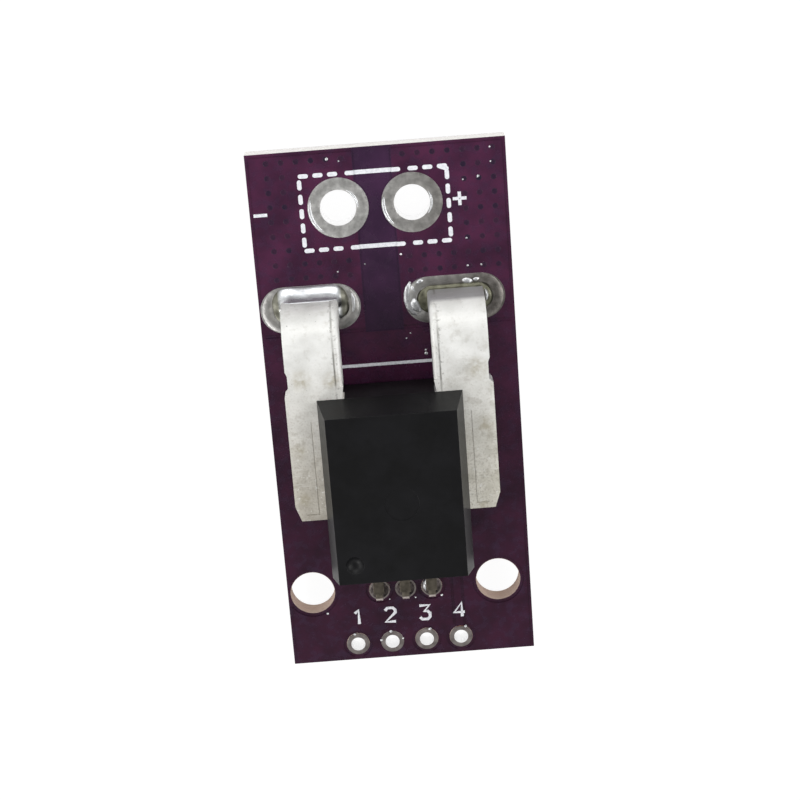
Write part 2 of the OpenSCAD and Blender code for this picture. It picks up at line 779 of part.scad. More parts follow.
module power_solder(side) color("lightgray") difference() {
    translate(slot_at(side)) {
        layer(pad_low_z, pad_top_z - pad_low_z) obround(slot_l, slot_w);
        solder_skirt(pad_top_z, solder_rise);
        mirror([0, 0, 1]) solder_skirt(-pad_low_z, solder_fall);
    }
    at_body() mirror([side < 0 ? 1 : 0, 0, 0]) translate([leg_gap / 2, 0, 0])
        leg_bend(leg_bend_r, bar_t, leg_end_w, bar_top_z);
}

module signal_solder(i) color("lightgray") difference() {
    translate(signal_at(i)) {
        layer(pad_low_z, pad_top_z - pad_low_z) circle(d = signal_hole_d);
        translate([0, 0, pad_top_z])
            cylinder(d1 = signal_foot_d, d2 = signal_end_d, h = solder_rise / 2);
        translate([0, 0, pad_low_z - solder_fall])
            cylinder(d1 = signal_end_d, d2 = signal_foot_d, h = solder_fall);
    }
    at_body() formed_lead(i, lead_inner_y);
}

// Small parts under the board

module smd_body(at, h) translate(concat(at, [smd_seat_z - smd_cap_t - h]))
    translate([-smd_l / 2, -smd_w / 2, 0]) cube([smd_l, smd_w, h]);

module smd_caps(at, h) difference() {
    for (side = [-1, 1])
        translate(concat(at + [side * (smd_l / 2 + smd_cap_t - smd_cap_l / 2), 0],
            [smd_seat_z - h / 2 - smd_cap_t]))
            cube([smd_cap_l, smd_w + 2 * smd_cap_t, h + 2 * smd_cap_t], center = true);
    smd_body(at, h);
}

module smd_fillets(at) for (side = [0, 1]) translate(concat(at, [smd_seat_z]))
    mirror([side, 0, 0]) translate([smd_l / 2 + smd_cap_t, smd_w / 2, 0]) rotate([90, 0, 0])
        linear_extrude(smd_w) polygon([[0, 0], [smd_fillet[0], 0], [0, -smd_fillet[1]]]);

module bypass_capacitor() color("burlywood") smd_body(bypass_at, capacitor_h);

module filter_capacitor() color("burlywood") smd_body(filter_at, capacitor_h);

module filter_resistor() color("black") smd_body(resistor_at, resistor_h);

module chip_end_caps() color("silver") {
    smd_caps(bypass_at, capacitor_h);
    smd_caps(filter_at, capacitor_h);
    smd_caps(resistor_at, resistor_h);
}

module chip_pads() lower_copper(copper_t) all_smd_pads_2d();

module chip_solder() color("lightgray")
    for (at = [bypass_at, filter_at, resistor_at]) smd_fillets(at);

board_core();
upper_copper(copper_t) plane_2d(-1);  // upper_left_plane
upper_copper(copper_t) plane_2d(1);  // upper_right_plane
upper_copper(copper_t) upper_pour_2d();  // upper_ground_pour
lower_copper(copper_t) plane_2d(-1);  // lower_left_plane
lower_copper(copper_t) plane_2d(1);  // lower_right_plane
lower_copper(copper_t) lower_pour_2d();  // lower_ground_pour
upper_trace();
lower_traces();
link_via();
upper_solder_mask();
lower_solder_mask();
board_print();
terminal_plating(-1);  // left_terminal_plating
terminal_plating(1);  // right_terminal_plating
slot_plating(-1);  // left_slot_plating
slot_plating(1);  // right_slot_plating
signal_plating(0);  // supply_hole_plating
signal_plating(1);  // ground_hole_plating
signal_plating(2);  // output_hole_plating
stitching_vias();
header_plating(0);  // header_plating_1
header_plating(1);  // header_plating_2
header_plating(2);  // header_plating_3
header_plating(3);  // header_plating_4
current_conductor();
sensor_body();
flux_core();
hall_chip();
supply_lead();
ground_lead();
output_lead();
bond_wires();
power_solder(-1);  // left_power_solder
power_solder(1);  // right_power_solder
signal_solder(0);  // supply_solder
signal_solder(1);  // ground_solder
signal_solder(2);  // output_solder
bypass_capacitor();
filter_capacitor();
filter_resistor();
chip_end_caps();
chip_pads();
chip_solder();
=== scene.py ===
"""Looks of a hall effect current sensor on its carrier board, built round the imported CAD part."""
import json
import math
import random

import bpy
from mathutils import Euler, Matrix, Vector, noise


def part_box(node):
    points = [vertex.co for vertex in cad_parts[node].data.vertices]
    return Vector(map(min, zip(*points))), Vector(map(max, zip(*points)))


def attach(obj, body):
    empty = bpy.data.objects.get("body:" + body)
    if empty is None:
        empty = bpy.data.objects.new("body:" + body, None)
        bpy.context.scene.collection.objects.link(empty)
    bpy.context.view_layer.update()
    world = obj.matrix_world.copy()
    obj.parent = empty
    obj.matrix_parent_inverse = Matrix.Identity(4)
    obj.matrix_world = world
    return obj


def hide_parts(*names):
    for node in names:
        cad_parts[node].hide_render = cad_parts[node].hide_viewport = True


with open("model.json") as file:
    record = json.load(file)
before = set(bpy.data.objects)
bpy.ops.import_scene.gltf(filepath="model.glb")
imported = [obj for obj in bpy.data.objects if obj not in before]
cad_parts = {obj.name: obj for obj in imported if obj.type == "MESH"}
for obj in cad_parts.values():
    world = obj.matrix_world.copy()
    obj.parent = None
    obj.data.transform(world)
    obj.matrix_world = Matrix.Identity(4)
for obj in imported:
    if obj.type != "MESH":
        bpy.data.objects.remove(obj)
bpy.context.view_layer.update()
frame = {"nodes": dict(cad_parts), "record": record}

MM = 0.001
random.seed(7)

# Levels and places, from the frame, in millimetres


def node_box(node):
    low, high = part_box(node)
    return Vector(low) / MM, Vector(high) / MM


def node_middle(node):
    low, high = node_box(node)
    return (low + high) / 2


MASK_TOP = node_box("upper_solder_mask")[1].z
MASK_LOW = node_box("lower_solder_mask")[0].z
PAD_LOW, PAD_TOP = (corner.z for corner in node_box("ground_hole_plating"))
BOARD_LOW, BOARD_HIGH = node_box("board_core")
LAYOUT_X = node_middle("ground_hole_plating").x
SLOT_X = node_middle("right_slot_plating").x - LAYOUT_X
LEAD_END = node_box("ground_lead")[0].y
GROUND_RINGS = ("ground_hole_plating", "header_plating_2")

# Sizes shared with the solids, in millimetres
LEG_W, LEG_T = 3.88, 1.5
LEAD_W, LEAD_T = 0.51, 0.38
SLOT_L, SLOT_W = 5.2, 2.0
SIGNAL_FOOT = 1.3
VIA_PITCH = 1.02
VIA_INNER = 2.1
VIA_EDGE = 0.67
EDGE_MARGIN = 0.6
FRAME_W, FRAME_L = 10.1, 5.2
FRAME_CLEAR = 0.4


# Materials

DULL_FROM = -8.0
STAIN_RUN = (-2.5, 7.0)


def rgb(r, g, b):
    """Linear colour of an sRGB triple from 0 to 255."""
    def linear(c):
        c /= 255
        return c / 12.92 if c <= 0.04045 else ((c + 0.055) / 1.055) ** 2.4
    return (linear(r), linear(g), linear(b), 1)


class Look:
    """A procedural material under construction: short calls that add and link nodes."""

    def __init__(self, name):
        self.mat = bpy.data.materials.new(name)
        self.mat.use_nodes = True
        self.nodes = self.mat.node_tree.nodes
        self.links = self.mat.node_tree.links
        self.shader = self.nodes["Principled BSDF"]
        self.place = self.add("ShaderNodeTexCoord").outputs["Object"]

    def add(self, kind, **inputs):
        node = self.nodes.new(kind)
        for key, value in inputs.items():
            self.put(node, key, value)
        return node

    def put(self, node, key, value):
        socket = node.inputs[int(key[1:])] if key[0] == "i" and key[1:].isdigit() else node.inputs[key]
        if isinstance(value, bpy.types.NodeSocket):
            self.links.new(value, socket)
        else:
            socket.default_value = value

    def set(self, **values):
        for key, value in values.items():
            self.put(self.shader, key.replace("_", " "), value)

    def noise(self, size_mm, detail=3, rough=0.55, stretch=(1, 1, 1), seed=0.0):
        """Noise whose features measure about size_mm."""
        mapping = self.add("ShaderNodeMapping", Vector=self.place)
        mapping.inputs["Scale"].default_value = [s / (size_mm * MM) for s in stretch]
        mapping.inputs["Location"].default_value = (seed, seed * 0.7, seed * 1.3)
        node = self.add("ShaderNodeTexNoise", Vector=mapping.outputs[0], Scale=1.0, Detail=detail, Roughness=rough)
        return node.outputs["Fac"]

    def ramp(self, value, low, high):
        """Maps value from low..high to 0..1."""
        node = self.add("ShaderNodeMapRange", Value=value)
        node.inputs["From Min"].default_value = low
        node.inputs["From Max"].default_value = high
        return node.outputs[0]

    def between(self, value, low, high):
        """Maps value from 0..1 to low..high."""
        node = self.add("ShaderNodeMapRange", Value=value)
        node.inputs["To Min"].default_value = low
        node.inputs["To Max"].default_value = high
        return node.outputs[0]

    def math(self, operation, a, b=0.0):
        node = self.add("ShaderNodeMath")
        node.operation = operation
        self.put(node, "i0", a)
        self.put(node, "i1", b)
        return node.outputs[0]

    def mix(self, factor, a, b):
        node = self.add("ShaderNodeMix")
        node.data_type = "RGBA"
        for index, value in ((0, factor), (6, a), (7, b)):
            self.put(node, "i%d" % index, value)
        return node.outputs[2]

    def axis(self, name):
        split = self.add("ShaderNodeSeparateXYZ", Vector=self.place)
        return split.outputs[name]

    def reach(self, point):
        """Level distance from a point given in millimetres."""
        x = self.math("SUBTRACT", self.axis("X"), point.x * MM)
        y = self.math("SUBTRACT", self.axis("Y"), point.y * MM)
        return self.math("SQRT", self.math("ADD", self.math("MULTIPLY", x, x), self.math("MULTIPLY", y, y)))

    def upright(self):
        """0 on level faces, 1 on upright ones."""
        normal = self.place.node.outputs["Normal"]
        split = self.add("ShaderNodeSeparateXYZ", Vector=normal)
        return self.math("SUBTRACT", 1.0, self.math("ABSOLUTE", split.outputs["Z"]))

    def bump(self, height, depth_mm, strength=1.0):
        node = self.add("ShaderNodeBump", Height=height, Distance=depth_mm * MM, Strength=strength)
        self.put(self.shader, "Normal", node.outputs[0])


def mask_look(name):
    """Purple lacquer: redder over copper, dark and bluish over the bare strip between the planes,
    and lighter towards the power end."""
    look = Look(name)
    blur = 0.02 * MM
    strip_l, strip_r = node_box("upper_left_plane")[1].x * MM, node_box("upper_right_plane")[0].x * MM
    strip_y = node_box("upper_ground_pour")[1].y * MM
    inside = look.math("MULTIPLY", look.ramp(look.axis("X"), strip_l - blur, strip_l + blur),
                       look.ramp(look.axis("X"), strip_r + blur, strip_r - blur))
    inside = look.math("MULTIPLY", inside, look.ramp(look.axis("Y"), strip_y - blur, strip_y + blur))
    cloud = look.ramp(look.noise(2.6, 4), 0.36, 0.64)
    patch = look.ramp(look.noise(0.7, 3, seed=3), 0.45, 0.7)
    far = look.ramp(look.axis("Y"), -15 * MM, 17 * MM)
    copper = look.mix(cloud, look.mix(far, rgb(43, 18, 35), rgb(58, 25, 50)),
                      look.mix(far, rgb(58, 23, 45), rgb(80, 35, 65)))
    copper = look.mix(look.math("MULTIPLY", patch, 0.35), copper, rgb(44, 26, 58))
    bare = look.mix(cloud, look.mix(far, rgb(30, 17, 32), rgb(50, 28, 54)),
                    look.mix(far, rgb(36, 20, 36), rgb(64, 36, 66)))
    look.set(Base_Color=look.mix(inside, copper, bare), Roughness=look.between(patch, 0.22, 0.34),
             Specular_IOR_Level=0.45)
    look.bump(look.noise(0.8, 2, seed=1), 0.002)
    return look.mat


def laminate_look():
    """Glass and epoxy: tan in the drilled holes, paler where the board's outline is routed."""
    look = Look("laminate")
    weave = look.noise(0.12, 2, stretch=(0.3, 0.3, 3.5))
    thread = look.ramp(weave, 0.35, 0.65)
    drilled = look.mix(thread, rgb(190, 166, 152), rgb(218, 198, 184))
    routed = look.mix(thread, rgb(249, 246, 242), rgb(255, 253, 250))
    rim = 0.2 * MM
    edge = look.math("MAXIMUM",
                     look.ramp(look.math("ABSOLUTE", look.axis("X")), BOARD_HIGH.x * MM - rim, BOARD_HIGH.x * MM),
                     look.ramp(look.math("ABSOLUTE", look.axis("Y")), BOARD_HIGH.y * MM - rim, BOARD_HIGH.y * MM))
    look.set(Base_Color=look.mix(edge, drilled, routed), Roughness=0.72, Specular_IOR_Level=0.3)
    look.bump(weave, 0.02)
    return look.mat


# The end of the right slot's pad left unstained: partly solder free of flux, partly a painted highlight of its bright
# lumps
UNSTAINED_GLARE_END = Vector((1.8, 8.0))


def metal_look(name, dark, light, rough, grain_mm=0.6, bump_mm=0.01, metallic=1.0, dull=None, ends=None,
               stain=None, bend_highlight=None, painted_wall_glare=None, tinned=False):
    """Metal between two colours. Flux was left on it: stain tints it more and more towards the right,
    dull at the lead end of the board and ends beside the legs. The leads' bends get a lighter colour,
    a painted highlight, and upright walls a white one, painted glare. A tinned foil has tin where the
    mask leaves it bare."""
    look = Look(name)
    grain = look.ramp(look.noise(grain_mm, 4), 0.32, 0.68)
    colour = look.mix(grain, dark, light)
    roughness = look.between(look.noise(grain_mm * 0.4, 3, seed=2), rough[0], rough[1])
    if stain:
        run = look.ramp(look.axis("X"), *(x * MM for x in STAIN_RUN))
        # A lighter unstained patch at one end of the right slot's pad: partly shiny solder, partly a painted
        # highlight.
        unstained_glare = look.ramp(look.reach(UNSTAINED_GLARE_END), 1.5 * MM, 0.8 * MM)
        run = look.math("MULTIPLY", run, look.math("SUBTRACT", 1.0, unstained_glare))
        left = look.ramp(look.reach(node_middle("left_slot_plating")), 3.6 * MM, 3.0 * MM)
        run = look.math("MAXIMUM", run, look.math("MULTIPLY", left, 0.4))
        colour = look.mix(run, colour, look.mix(grain, *stain))
    if dull:
        near = look.ramp(look.axis("Y"), DULL_FROM * MM, (DULL_FROM - 1) * MM)
        colour = look.mix(near, colour, look.mix(grain, *dull))
    if ends:
        off = look.math("ABSOLUTE", look.math("SUBTRACT", look.axis("X"), LAYOUT_X * MM))
        beside = look.math("ABSOLUTE", look.math("SUBTRACT", off, SLOT_X * MM))
        matt = look.ramp(beside, (LEG_W / 2 + 0.02) * MM, (LEG_W / 2 + 0.3) * MM)
        colour = look.mix(matt, colour, look.mix(grain, *ends))
        roughness = look.math("MAXIMUM", roughness, look.math("MULTIPLY", matt, 0.48))
    # Painted highlight: the leads' bends take a lighter colour.
    if bend_highlight:
        colour = look.mix(look.ramp(look.axis("Y"), (LEAD_END + 0.42) * MM, (LEAD_END + 0.34) * MM), colour, bend_highlight)
    if tinned:
        for node in GROUND_RINGS:
            colour = look.mix(look.ramp(look.reach(node_middle(node)), 0.98 * MM, 0.94 * MM), colour,
                              rgb(150, 142, 138))
    # Painted glare: upright walls take a plain white colour.
    if painted_wall_glare:
        colour = look.mix(look.ramp(look.upright(), 0.6, 0.8), colour, painted_wall_glare)
    look.set(Base_Color=colour, Metallic=metallic, Roughness=roughness)
    look.bump(look.noise(grain_mm * 0.5, 3, seed=5), bump_mm)
    return look.mat


SCORE_X = 3.59
# Places and radii of tan flux blotches on the bar
BLOTCHES = [(5.89, 4.13, 1.0), (-4.08, 4.00, 0.8), (-6.25, 4.18, 0.9), (6.19, 0.08, 0.8), (5.70, -5.78, 0.6), (-6.78, -0.92, 0.7), (-6.62, -4.48, 0.6)]


def bar_look():
    """Matt tin on the stamped bar: cloudy, warmer near the body, with dark specks and fine scratches. The
    tan on the right side is lighter and the right leg's upright faces greyer: painted light and painted shade.
    """
    look = Look("tinned_bar")
    cloud = look.ramp(look.noise(1.6, 4), 0.35, 0.65)
    warm = look.ramp(look.axis("Y"), 0.0055, -0.004)
    cool = look.mix(cloud, rgb(232, 232, 228), rgb(246, 246, 243))
    # The tan on the right side is lighter: painted light from that side.
    right = look.ramp(look.axis("X"), (LAYOUT_X - 0.1) * MM, (LAYOUT_X + 0.1) * MM)
    tan = look.mix(right, look.mix(cloud, rgb(194, 188, 176), rgb(218, 213, 201)),
                   look.mix(cloud, rgb(214, 210, 196), rgb(240, 237, 226)))
    colour = look.mix(warm, cool, tan)
    smudge = look.ramp(look.noise(0.9, 5, 0.65, seed=9), 0.54, 0.72)
    colour = look.mix(look.math("MULTIPLY", smudge, look.between(warm, 0.32, 0.6)), colour, rgb(152, 144, 126))
    fleck = look.ramp(look.noise(0.3, 3, seed=21), 0.62, 0.7)
    colour = look.mix(look.math("MULTIPLY", fleck, look.between(warm, 0.0, 0.8)), colour, rgb(244, 243, 238))
    # Painted shade: the right leg's upright faces, its bend and rolled edge, greyer and bluer.
    painted_bend_shade = look.math("MULTIPLY", right, look.ramp(look.upright(), 0.6, 0.76))
    colour = look.mix(look.math("MULTIPLY", painted_bend_shade, 0.66), colour, rgb(120, 118, 124))
    grit = look.ramp(look.noise(0.15, 3, seed=24), 0.5, 0.68)
    colour = look.mix(look.math("MULTIPLY", grit, look.between(warm, 0.06, 0.5)), colour, rgb(166, 158, 142))
    dirt = 0.0
    for x, y, radius in BLOTCHES:
        spot = look.ramp(look.reach(Vector((x, y))), radius * MM, 0.2 * radius * MM)
        dirt = look.math("MAXIMUM", dirt, spot)
    dirt = look.math("MULTIPLY", dirt, look.ramp(look.noise(0.45, 4, seed=17), 0.34, 0.62))
    colour = look.mix(look.math("MULTIPLY", dirt, 0.6), colour, rgb(172, 162, 134))
    speck = look.ramp(look.noise(0.16, 2, seed=4), 0.72, 0.78)
    colour = look.mix(look.math("MULTIPLY", speck, 0.7), colour, rgb(96, 92, 84))
    scratch = look.ramp(look.noise(0.5, 3, stretch=(0.25, 2.2, 1), seed=6), 0.62, 0.7)
    off = look.math("ABSOLUTE", look.math("SUBTRACT", look.axis("X"), LAYOUT_X * MM))
    beside = look.math("ABSOLUTE", look.math("SUBTRACT", off, SCORE_X * MM))
    grime = look.math("MULTIPLY", look.ramp(beside, 0.35 * MM, 0.05 * MM), look.ramp(look.noise(0.22, 3, seed=14), 0.56, 0.66))
    line = look.math("MULTIPLY", look.ramp(beside, 0.1 * MM, 0.03 * MM), look.ramp(look.noise(1.4, 2, seed=15), 0.35, 0.6))
    colour = look.mix(look.math("MULTIPLY", look.math("MAXIMUM", grime, line), 0.6), colour, rgb(112, 108, 100))
    look.set(Base_Color=look.mix(look.math("MULTIPLY", scratch, 0.25), colour, rgb(255, 255, 252)),
             Metallic=0.25, Roughness=look.between(cloud, 0.42, 0.56))
    look.bump(look.noise(0.22, 4, seed=8), 0.012)
    return look.mat


def compound_look():
    look = Look("compound")
    grain = look.noise(0.09, 3)
    cloud = look.ramp(look.noise(2.5, 3, seed=2), 0.4, 0.65)
    look.set(Base_Color=look.mix(cloud, rgb(13, 13, 14), rgb(19, 19, 21)),
             Roughness=look.between(look.noise(0.4, 3, seed=5), 0.34, 0.44), Specular_IOR_Level=0.22)
    look.bump(grain, 0.006)
    return look.mat


def plain_look(name, dark, light, rough, grain_mm=0.3, bump_mm=0.006, **extra):
    look = Look(name)
    grain = look.ramp(look.noise(grain_mm, 3), 0.35, 0.65)
    look.set(Base_Color=look.mix(grain, dark, light), Roughness=rough, **extra)
    look.bump(grain, bump_mm)
    return look.mat


LOOKS = {
    "laminate": laminate_look(),
    "foil": metal_look("foil", rgb(188, 120, 86), rgb(214, 146, 108), (0.3, 0.42), tinned=True),
    # Flux colour; on the dark lines round the slot ends it is partly painted crease shade.
    "flux": plain_look("flux", rgb(38, 36, 28), rgb(60, 57, 46), 0.3),
    "solder_mask": mask_look("solder_mask"),
    "ink": plain_look("ink", rgb(220, 222, 228), rgb(244, 245, 249), 0.6, 0.2, 0.004),
    # The tinned pads' upright walls are pure white: painted glare of the hole walls.
    "tinned_pad": metal_look("tinned_pad", rgb(188, 187, 184), rgb(234, 233, 230), (0.34, 0.5), 0.5, 0.025, stain=(rgb(116, 112, 107), rgb(158, 153, 148)),
                             dull=(rgb(126, 118, 116), rgb(168, 160, 156)), painted_wall_glare=(1, 1, 1, 1)),
    "tinned_bar": bar_look(),
    # The leads' dark tin is painted shade of the body over them, and their lighter bends a painted highlight.
    "tinned_lead": metal_look("tinned_lead", rgb(86, 81, 72), rgb(116, 109, 98), (0.34, 0.5), 0.4,
                              bend_highlight=rgb(196, 186, 180)),
    "solder": metal_look("solder", rgb(208, 211, 214), rgb(234, 236, 238), (0.2, 0.42), 0.7, 0.02,
                         ends=(rgb(104, 103, 92), rgb(150, 149, 137))),
    "matt_solder": metal_look("matt_solder", rgb(88, 87, 74), rgb(132, 131, 114), (0.42, 0.56), 0.5, 0.02),
    # The dark lead solder is partly flux and partly painted shade of the body over it.
    "lead_solder": metal_look("lead_solder", rgb(38, 34, 34), rgb(80, 74, 72), (0.3, 0.42), 0.4, 0.02),
    "bright_solder": metal_look("bright_solder", rgb(208, 210, 212), rgb(244, 245, 246), (0.3, 0.5), 0.25, 0.03),
    "compound": compound_look(),
    "core_metal": metal_look("core_metal", rgb(84, 84, 84), rgb(120, 120, 118), (0.5, 0.65)),
    "silicon": plain_look("silicon", rgb(88, 94, 106), rgb(112, 118, 130), 0.15),
    "gold": metal_look("gold", rgb(214, 176, 92), rgb(236, 204, 120), (0.15, 0.25)),
    "capacitor_ceramic": plain_look("capacitor_ceramic", rgb(150, 118, 84), rgb(176, 142, 104), 0.5),
    "resistor_glaze": plain_look("resistor_glaze", rgb(20, 20, 22), rgb(34, 34, 36), 0.22),
}

SLOT_OF = {row["node"]: row["material_slot"] for row in frame["record"]["subparts"]}


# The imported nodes: their looks, and a fine rounding of the edges that show

ROUNDED = {"current_conductor": 0.05, "sensor_body": 0.09, "supply_lead": 0.03, "ground_lead": 0.03,
           "output_lead": 0.03, "chip_end_caps": 0.04, "filter_resistor": 0.02, "bypass_capacitor": 0.02,
           "filter_capacitor": 0.02}


def round_edges(obj, radius):
    weld = obj.modifiers.new("weld", "WELD")
    weld.merge_threshold = 1e-7
    bevel = obj.modifiers.new("round", "BEVEL")
    bevel.width = radius * MM
    bevel.segments = 3
    bevel.limit_method = "ANGLE"
    bevel.angle_limit = math.radians(35)
    bevel.harden_normals = False


def dress_nodes():
    for node, obj in frame["nodes"].items():
        obj.data.materials.clear()
        obj.data.materials.append(LOOKS[SLOT_OF[node]])
        if node in ROUNDED:
            round_edges(obj, ROUNDED[node])


dress_nodes()


# Pieces made here

def add_piece(name, verts, faces, look, smooth=True):
    """A mesh from points in millimetres, riding on the part."""
    mesh = bpy.data.meshes.new(name)
    mesh.from_pydata([tuple(c * MM for c in v) for v in verts], [], faces)
    mesh.validate()
    mesh.update()
    mesh.shade_smooth() if smooth else mesh.shade_flat()
    obj = bpy.data.objects.new(name, mesh)
    bpy.context.scene.collection.objects.link(obj)
    mesh.materials.append(LOOKS[look])
    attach(obj, "root")
    return obj


def closed_rings(rings):
    """Faces between rings of points, the last one joined to the first: a ring-shaped solid."""
    count = len(rings[0])
    verts = [p for ring in rings for p in ring]
    faces = []
    for r in range(len(rings)):
        after = (r + 1) % len(rings)
        for i in range(count):
            j = (i + 1) % count
            faces.append((r * count + i, r * count + j, after * count + j, after * count + i))
    return verts, faces


def race(side_steps, end_steps):
    """Places round a flat-sided ring, as (spine place from -1 to 1, direction angle)."""
    places = []
    for turn in (0, 1):
        sign = 1 - 2 * turn
        for i in range(side_steps):
            places.append((sign * (1 - 2 * i / side_steps), math.pi / 2 + turn * math.pi))
        for i in range(end_steps):
            places.append((-sign, math.pi / 2 + turn * math.pi + math.pi * i / end_steps))
    return places


def boxy(angle, power=9):
    """Radius of a square with slightly rounded corners, of half width 1."""
    c, s = abs(math.cos(angle)), abs(math.sin(angle))
    return 1 / (c ** power + s ** power) ** (1 / power)


def solder_joint(name, look, middle, core, foot, face_z, side, climb, rim, spill, steps=(22, 20)):
    """Solder that spreads from a square pin or leg over the hole and onto its pad: a fillet that is
    hollow beside the pin and ends in a round rim. core and foot are (length, width). climb, rim and
    spill take a direction angle: how high the solder climbs there, how high its rim stands, and how
    far it runs out over the foot."""
    core_spine, core_r = (core[0] - core[1]) / 2, core[1] / 2
    foot_spine, foot_r = (foot[0] - foot[1]) / 2, foot[1] / 2
    rings = []
    levels = [-0.06] + [i / 17 for i in range(18)]
    for t in levels:
        ring = []
        for spine, angle in race(*steps):
            r_in, r_out = core_r * boxy(angle), foot_r + spill(angle)
            s = (core_spine + (foot_spine - core_spine) * t) * spine
            r = r_in + (r_out - r_in) * t
            x, y = s + r * math.cos(angle), r * math.sin(angle)
            u = max(t, 0)
            sag = (1 - CLING) * (1 - u) ** SAG[0] + CLING * (1 - u) ** SAG[1]
            rise = climb(angle) * sag + rim(angle) * max(1 - u ** 8, 0) ** 0.7
            wave = noise.noise(Vector((x * 0.9 + middle.x, y * 0.9, middle.y + face_z)))
            rise += WAVE * wave * u * (1 - u) * 4 * (rim(angle) + 0.3 * climb(angle))
            ring.append((middle.x + x, middle.y + y, face_z + side * max(rise, 0.0)))
        rings.append(ring)
    floor_z = face_z - side * 0.1
    rings.append([(x, y, floor_z) for x, y, _ in rings[-1]])
    rings.append([(x, y, floor_z) for x, y, _ in rings[0]])
    verts, faces = closed_rings(rings)
    if side < 0:
        faces = [face[::-1] for face in faces]
    return add_piece(name, verts, faces, look)


WAVE = 0.3
SAG = (1.05, 5)
CLING = 0.4


def north(angle):
    """1 on the side of the leg that faces the power end, 0 on its other sides."""
    return max(math.sin(angle), 0) ** 1.5


def east(angle):
    """1 on the right side, 0 on the left."""
    return max(math.cos(angle), 0) ** 1.5


def flat(angle):
    return 0.0


def add_solder():
    leg, slot = (LEG_W, LEG_T), (SLOT_L, SLOT_W)
    tops = {"left": ("solder", lambda a: 0.14 + 0.88 * north(a),
                     lambda a: 0.05 + 0.1 * north(a) + 0.12 * east(a), lambda a: 0.64 * north(a)),
            "right": ("matt_solder", lambda a: 0.14 + 0.06 * north(a), lambda a: 0.05 + 0.12 * east(a), flat)}
    for side, (look, climb, rim, spill) in tops.items():
        middle = node_middle(side + "_slot_plating")
        top = solder_joint(side + "_leg_solder", look, middle, leg, slot, PAD_TOP, 1, climb, rim, spill)
        low = solder_joint(side + "_leg_solder_below", "solder", middle, leg, slot, PAD_LOW, -1,
                           lambda a: 0.5, lambda a: 0.2, lambda a: 0.5)
        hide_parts(side + "_power_solder")
        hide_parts(side + "_power_solder")
    pin, pad = (LEAD_W, LEAD_T), (SIGNAL_FOOT, SIGNAL_FOOT - 0.001)
    for lead in ("supply", "ground", "output"):
        middle = node_middle(lead + "_hole_plating")
        top = solder_joint(lead + "_lead_solder", "lead_solder", middle, pin, pad, PAD_TOP, 1,
                           lambda a: 0.32, flat, flat, (4, 14))
        low = solder_joint(lead + "_lead_solder_below", "solder", middle, pin, pad, PAD_LOW, -1,
                           lambda a: 0.58, flat, flat, (4, 14))
        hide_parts(lead + "_solder")
        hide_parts(lead + "_solder")


add_solder()


# Domes of mask over the stitching vias

def via_places():
    columns = int((BOARD_HIGH.x - EDGE_MARGIN - VIA_INNER) / VIA_PITCH) + 1
    slot_low, slot_high = node_box("left_slot_plating")
    rows = int((BOARD_HIGH.y - VIA_EDGE - slot_high.y) / VIA_PITCH)
    ring_y = node_middle("left_terminal_plating").y - 0.25
    for sign in (-1, 1):
        for i in range(columns + 1):
            for j in range(rows + 1):
                x = LAYOUT_X + sign * (VIA_INNER + i * VIA_PITCH)
                y = BOARD_HIGH.y - VIA_EDGE - j * VIA_PITCH
                if abs(x) >= BOARD_HIGH.x - EDGE_MARGIN:
                    continue
                if abs(x - LAYOUT_X) < FRAME_W / 2 + FRAME_CLEAR and abs(y - ring_y) < FRAME_L / 2 + FRAME_CLEAR:
                    continue
                yield x, y


def add_via_domes():
    """A shallow sunk dish with a raised rim where the mask covers each via."""
    profile = [(0.0, 0.001), (0.08, 0.002), (0.13, 0.006), (0.16, 0.006), (0.19, 0.003), (0.21, -0.004)]
    around = 16
    for name, face_z, side in (("via_domes", MASK_TOP, 1), ("via_domes_below", MASK_LOW, -1)):
        verts, faces = [], []
        for x, y in via_places():
            start = len(verts)
            for r, z in profile[1:]:
                verts += [(x + r * math.cos(2 * math.pi * k / around),
                           y + r * math.sin(2 * math.pi * k / around), face_z + side * z)
                          for k in range(around)]
            verts.append((x, y, face_z + side * profile[0][1]))
            top = len(verts) - 1
            verts.append((x, y, face_z - side * 0.01))
            for k in range(around):
                k2 = (k + 1) % around
                fan = [(top, start + k, start + k2)]
                for r in range(len(profile) - 2):
                    a, b = start + r * around, start + (r + 1) * around
                    fan.append((a + k, b + k, b + k2, a + k2))
                last = start + (len(profile) - 2) * around
                fan.append((last + k, top + 1, last + k2))
                faces += fan if side > 0 else [f[::-1] for f in fan]
        add_piece(name, verts, faces, "via_mask")


def via_look():
    look = Look("via_mask")
    patch = look.ramp(look.noise(1.3, 2, seed=12), 0.35, 0.6)
    look.set(Base_Color=look.mix(patch, rgb(36, 20, 44), rgb(54, 26, 50)), Roughness=0.3,
             Specular_IOR_Level=0.45)
    return look.mat


LOOKS["via_mask"] = via_look()
add_via_domes()


# Printed signs: one number at each header hole, and the signs of the power wire holes

STROKES = {
    "1": [[(0.15, 0.78), (0.4, 1), (0.4, 0)]],
    "2": [[(0, 0.82), (0.15, 1), (0.52, 1), (0.67, 0.84), (0.67, 0.64), (0, 0), (0.67, 0)]],
    "3": [[(0, 1), (0.67, 1), (0.3, 0.58), (0.52, 0.58), (0.67, 0.42), (0.67, 0.16), (0.52, 0), (0.15, 0),
           (0, 0.16)]],
    "4": [[(0.52, 0), (0.52, 1), (0, 0.32), (0.7, 0.32)]],
    "plus": [[(0, 0.5), (0.9, 0.5)], [(0.45, 0.05), (0.45, 0.95)]],
    "minus": [[(0, 0.5), (0.9, 0.5)]],
}
INK_W = 0.24
INK_H = 0.03


